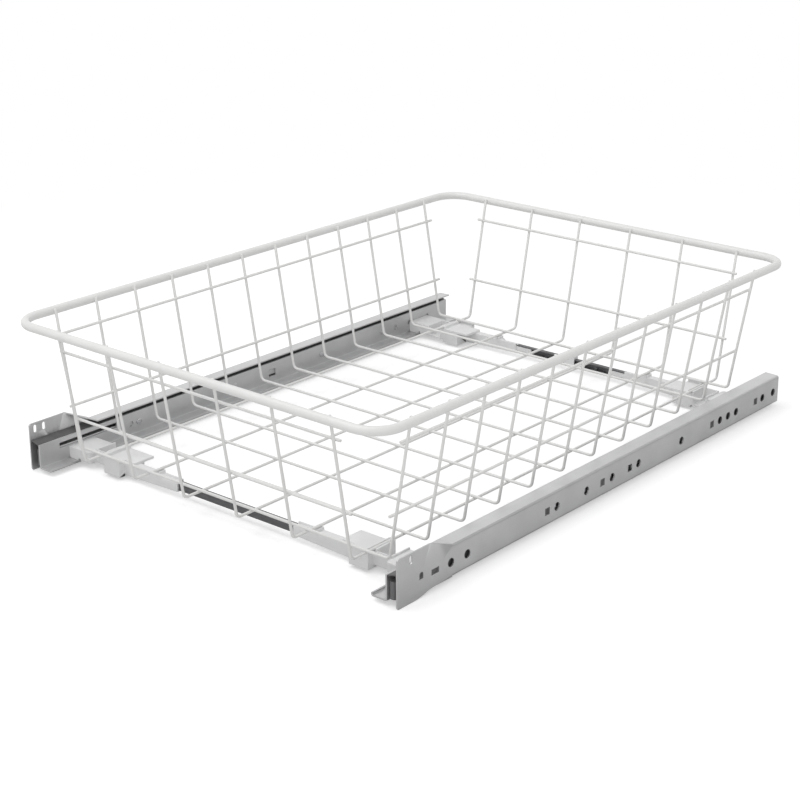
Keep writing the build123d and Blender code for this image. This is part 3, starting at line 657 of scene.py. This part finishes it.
def draw_rivets():
    """Domed rivet heads on the right web: a disc whose face is inset and raised, then copied."""
    first, *others = RIVETS
    deselect()
    bpy.ops.mesh.primitive_cylinder_add(
        vertices=RIVET_SIDES,
        radius=RIVET_RADIUS,
        depth=RIVET_HEAD,
        location=(WEB_INNER - RIVET_HEAD / 2, RUNNER_FRONT + first * MM, RIVET_Z),
        rotation=(0, math.pi / 2, 0),
    )
    head = bpy.context.object
    head.name = "rivet_1_right"
    bpy.ops.object.transform_apply(location=True, rotation=True, scale=True)
    edit(head)
    bpy.ops.mesh.bevel(offset=RIVET_ROUND, segments=2, affect="EDGES")
    pick(head, lambda place: place.x < WEB_INNER - RIVET_HEAD + FACE_MARGIN)
    bpy.ops.mesh.select_mode(type="FACE")
    bpy.ops.mesh.inset(thickness=CROWN_INSET, depth=CROWN_RAISE)
    close(head, MOULDING_SMOOTH)
    steps = [(distance - first) * MM for distance in others]
    return [head] + [copied(head, f"rivet_{i}_right", (0, step, 0)) for i, step in enumerate(steps, 2)]


def draw_rear_stop():
    """Soft end stop that closes the back of the right outer rail."""
    deselect()
    bpy.ops.mesh.primitive_cube_add(size=1, location=STOP_PLACE, scale=STOP_SIZE)
    stop = bpy.context.object
    stop.name = "rear_stop_right"
    bpy.ops.object.transform_apply(location=True, rotation=True, scale=True)
    edit(stop)
    bpy.ops.mesh.bevel(offset=STOP_ROUND, segments=3, affect="EDGES")
    return close(stop)


# ---------------------------------------------------------------- the studio
# Camera of the photograph, its focal length and optical centre in pixels
CAMERA_PLACE = (0.9894, -1.1801, 0.6092)
CAMERA_TILT = (71.140, -0.347, 38.918)
FOCAL_PIXELS = 1833.2
OPTICAL_CENTRE = (457.9, 349.0)
IMAGE_SIZE = 800
SENSOR = 36.0  # in millimetres
CLIP_END = 50

LAMP_TARGET = (0, 0, 0.05)
KEY_PLACE, KEY_SIZE = (-0.6, -0.6, 2.2), 1.8
FILL_PLACE, FILL_SIZE = (1.8, -1.8, 1.3), 1.5
WHITE = (1, 1, 1, 1)
FLOOR_SIZE = 30
FLOOR_GREY = (0.74, 0.74, 0.74, 1)
FLOOR_LIFT = 0.44  # light that the camera sees the floor give off
FLOOR_CLEAR = (0.55, 1.0)  # the floor turns to plain white between these distances


def add_camera():
    """Camera where the photograph's stood."""
    data = bpy.data.cameras.new("camera")
    data.sensor_width = SENSOR
    data.lens = FOCAL_PIXELS * SENSOR / IMAGE_SIZE
    data.shift_x = (IMAGE_SIZE / 2 - OPTICAL_CENTRE[0]) / IMAGE_SIZE
    data.shift_y = (OPTICAL_CENTRE[1] - IMAGE_SIZE / 2) / IMAGE_SIZE
    data.clip_end = CLIP_END
    camera = bpy.data.objects.new("camera", data)
    camera.location = CAMERA_PLACE
    camera.rotation_euler = [math.radians(angle) for angle in CAMERA_TILT]
    bpy.context.scene.collection.objects.link(camera)
    bpy.context.scene.camera = camera


def add_lamp(name, place, size, power):
    """Square area lamp turned towards the basket."""
    data = bpy.data.lights.new(name, "AREA")
    data.size = size
    data.energy = power
    lamp = bpy.data.objects.new(name, data)
    lamp.location = place
    direction = Vector(LAMP_TARGET) - Vector(place)
    lamp.rotation_euler = direction.to_track_quat("-Z", "Y").to_euler()
    bpy.context.scene.collection.objects.link(lamp)


def add_background(world, strength):
    """White light of a strength, from all round."""
    light = add_node(world, "ShaderNodeBackground")
    light.inputs["Color"].default_value = WHITE
    light.inputs["Strength"].default_value = strength
    return light


def white_world(ambient):
    """World that looks white to the camera and in reflections, and gives a soft even light."""
    world = bpy.data.worlds.new("studio")
    bpy.context.scene.world = world
    world.use_nodes = True
    world.node_tree.nodes.clear()
    output = add_node(world, "ShaderNodeOutputWorld")
    mix = add_node(world, "ShaderNodeMixShader")
    rays = add_node(world, "ShaderNodeLightPath")
    seen = add_node(world, "ShaderNodeMath", operation="MAXIMUM")
    seen_through = add_node(world, "ShaderNodeMath", operation="MAXIMUM")
    light = add_background(world, ambient)
    white = add_background(world, 1.0)
    link(world, rays.outputs["Is Camera Ray"], seen.inputs[0])
    link(world, rays.outputs["Is Glossy Ray"], seen.inputs[1])
    link(world, seen.outputs[0], seen_through.inputs[0])
    link(world, rays.outputs["Is Transmission Ray"], seen_through.inputs[1])
    link(world, seen_through.outputs[0], mix.inputs["Fac"])
    link(world, light.outputs[0], mix.inputs[1])
    link(world, white.outputs[0], mix.inputs[2])
    link(world, mix.outputs[0], output.inputs["Surface"])


def add_glow(material, strength):
    """White emission of a strength."""
    glow = add_node(material, "ShaderNodeEmission")
    glow.inputs["Color"].default_value = WHITE
    glow.inputs["Strength"].default_value = strength
    return glow


def mix_shaders(material, share, first, second):
    """Mixes two shaders by a share of the second."""
    mix = add_node(material, "ShaderNodeMixShader")
    link(material, share, mix.inputs["Fac"])
    link(material, first.outputs[0], mix.inputs[1])
    link(material, second.outputs[0], mix.inputs[2])
    return mix


def floor_material():
    """Pale floor that looks white to the camera and keeps the basket's soft shadow."""
    material, shader = new_material("pale_floor")
    shader.inputs["Base Color"].default_value = FLOOR_GREY
    shader.inputs["Roughness"].default_value = 0.9
    shader.inputs["Specular IOR Level"].default_value = 0.1
    rays = add_node(material, "ShaderNodeLightPath")
    dark = add_glow(material, 0.0)
    lift = mix_shaders(material, rays.outputs["Is Camera Ray"], dark, add_glow(material, FLOOR_LIFT))
    near = add_node(material, "ShaderNodeAddShader")
    link(material, shader.outputs[0], near.inputs[0])
    link(material, lift.outputs[0], near.inputs[1])
    place = add_node(material, "ShaderNodeTexCoord")
    distance = add_node(material, "ShaderNodeVectorMath", operation="LENGTH")
    reach = add_node(material, "ShaderNodeMapRange")
    reach.inputs["From Min"].default_value, reach.inputs["From Max"].default_value = FLOOR_CLEAR
    link(material, place.outputs["Object"], distance.inputs[0])
    link(material, distance.outputs["Value"], reach.inputs["Value"])
    surface = mix_shaders(material, reach.outputs["Result"], near, add_glow(material, 1.0))
    output = material.node_tree.nodes["Material Output"]
    link(material, surface.outputs[0], output.inputs["Surface"])
    return material


# ---------------------------------------------------------------- operators
class BASKET_OT_wires(bpy.types.Operator):
    """Draw the basket's wires and their welds, and coat them"""

    bl_idname = "basket.wires"
    bl_label = "Basket wires"

    def execute(self, context):
        finish = context.scene.basket_finish
        coat = coated_wire()
        finish_piece(draw_rim(finish.rim_thickness), coat, "basket", "rim")
        for wire in draw_cross_wires(finish.wire_thickness):
            finish_piece(wire, coat, "basket", "cross_wires")
        for wire in draw_long_wires(finish.wire_thickness):
            finish_piece(wire, coat, "basket", "long_wires")
        side_bands, end_bands = draw_bands(finish.wire_thickness)
        for wire in side_bands:
            finish_piece(wire, coat, "basket", "side_bands")
        for wire in end_bands:
            finish_piece(wire, coat, "basket", "end_bands")
        finish_piece(draw_welds(finish.wire_thickness), coat, "basket")
        return {"FINISHED"}


class BASKET_OT_runners(bpy.types.Operator):
    """Plates, rails, cages, rivets and stops of the two runners"""

    bl_idname = "basket.runners"
    bl_label = "Runners"

    def execute(self, context):
        zinc = zinc_sheet()
        shaded = painted_shade_rail()
        bright = bright_steel()
        rubber = moulded_plastic("dark_stop", STOP_RUBBER)
        rivets = draw_rivets()
        stop = draw_rear_stop()
        for side in SIDES:
            finish_piece(draw_plate(side), zinc, "cabinet_members", f"cabinet_plate_{side}")
            finish_piece(draw_nose_fold(side), zinc, "cabinet_members")
            for piece in ("inner_rail", "drawer_member"):
                dress(f"{piece}_{side}", zinc)
            # the roof, outer and middle rails get the painted shade of the inside of the runners
            for piece in ("roof_rail", "outer_rail", "middle_rail"):
                dress(f"{piece}_{side}", shaded)
            for piece in ("outer_cage", "inner_cage", "outer_balls", "inner_balls"):
                dress(f"{piece}_{side}", bright)
            for rivet in rivets:
                piece = rivet
                if side == "left":
                    piece = copied(rivet, rivet.name.replace("right", "left"), flip=True)
                finish_piece(piece, bright, "carriage", f"rail_rivets_{side}")
            piece = stop if side == "right" else copied(stop, "rear_stop_left", flip=True)
            finish_piece(piece, rubber, "cabinet_members")
        dress("bracket_screws", bright)
        return {"FINISHED"}


class BASKET_OT_cross_members(bpy.types.Operator):
    """Finish the cross bars, their brackets, the bumpers and the clip"""

    bl_idname = "basket.cross_members"
    bl_label = "Bars and brackets"

    def execute(self, context):
        finish = context.scene.basket_finish
        paint = dark_bar()
        grey = moulded_plastic("pale_moulding", finish.moulding)
        # the bumpers get a dark grey that is painted shade
        dark = moulded_plastic("bumper_painted_shade", BUMPER_PAINTED_SHADE)
        for node in ("front_bar", "rear_bar"):
            finish_piece(softened(node, f"{node}_folded", BAR_EDGE), paint, "carriage", node)
        finish_piece(softened("wire_clip", "wire_clip_moulded", CLIP_EDGE), grey, "carriage", "wire_clip")
        for side in SIDES:
            for piece in (f"front_bracket_{side}", f"rear_bracket_{side}"):
                finish_piece(softened(piece, f"{piece}_moulded", BRACKET_EDGE), grey, "carriage", piece)
            bumper = f"front_bumper_{side}"
            finish_piece(softened(bumper, f"{bumper}_moulded", BUMPER_EDGE), dark, "carriage", bumper)
        return {"FINISHED"}


class BASKET_OT_stage(bpy.types.Operator):
    """Add the floor, the lamps and the camera"""

    bl_idname = "basket.stage"
    bl_label = "Studio"

    def execute(self, context):
        settings = context.scene.stage_settings
        deselect()
        bpy.ops.mesh.primitive_plane_add(size=FLOOR_SIZE, location=(0, 0, 0))
        floor = context.object
        floor.name = "floor"
        floor.data.materials.append(floor_material())
        white_world(settings.ambient)
        add_lamp("key", KEY_PLACE, KEY_SIZE, settings.key)
        add_lamp("fill", FILL_PLACE, FILL_SIZE, settings.fill)
        add_camera()
        context.scene.view_settings.view_transform = "Standard"
        return {"FINISHED"}


class BASKET_PT_panel(bpy.types.Panel):
    """Panel that lists the operators and their settings."""

    bl_label = "Pull-out basket"
    bl_idname = "BASKET_PT_panel"
    bl_space_type = "VIEW_3D"
    bl_region_type = "UI"
    bl_category = "Basket"

    def draw(self, context):
        for operator in OPERATORS:
            self.layout.operator(operator.bl_idname)
        for group in GROUPS:
            settings = getattr(context.scene, group)
            for name in settings.__annotations__:
                self.layout.prop(settings, name)


GROUPS = {"basket_finish": BasketFinish, "runner_finish": RunnerFinish, "stage_settings": StageSettings}
OPERATORS = (BASKET_OT_wires, BASKET_OT_runners, BASKET_OT_cross_members, BASKET_OT_stage)


def register():
    """Registers the settings, the operators and the panel."""
    for name, group in GROUPS.items():
        bpy.utils.register_class(group)
        setattr(bpy.types.Scene, name, PointerProperty(type=group))
    for operator in OPERATORS:
        bpy.utils.register_class(operator)
    bpy.utils.register_class(BASKET_PT_panel)


def unregister():
    """Takes them away again, in the other order."""
    bpy.utils.unregister_class(BASKET_PT_panel)
    for operator in reversed(OPERATORS):
        bpy.utils.unregister_class(operator)
    for name, group in reversed(GROUPS.items()):
        delattr(bpy.types.Scene, name)
        bpy.utils.unregister_class(group)


def main():
    """Makes every piece in order."""
    register()
    for operator in OPERATORS:
        family, name = operator.bl_idname.split(".")
        getattr(getattr(bpy.ops, family), name)()


if __name__ == "__main__":
    main()
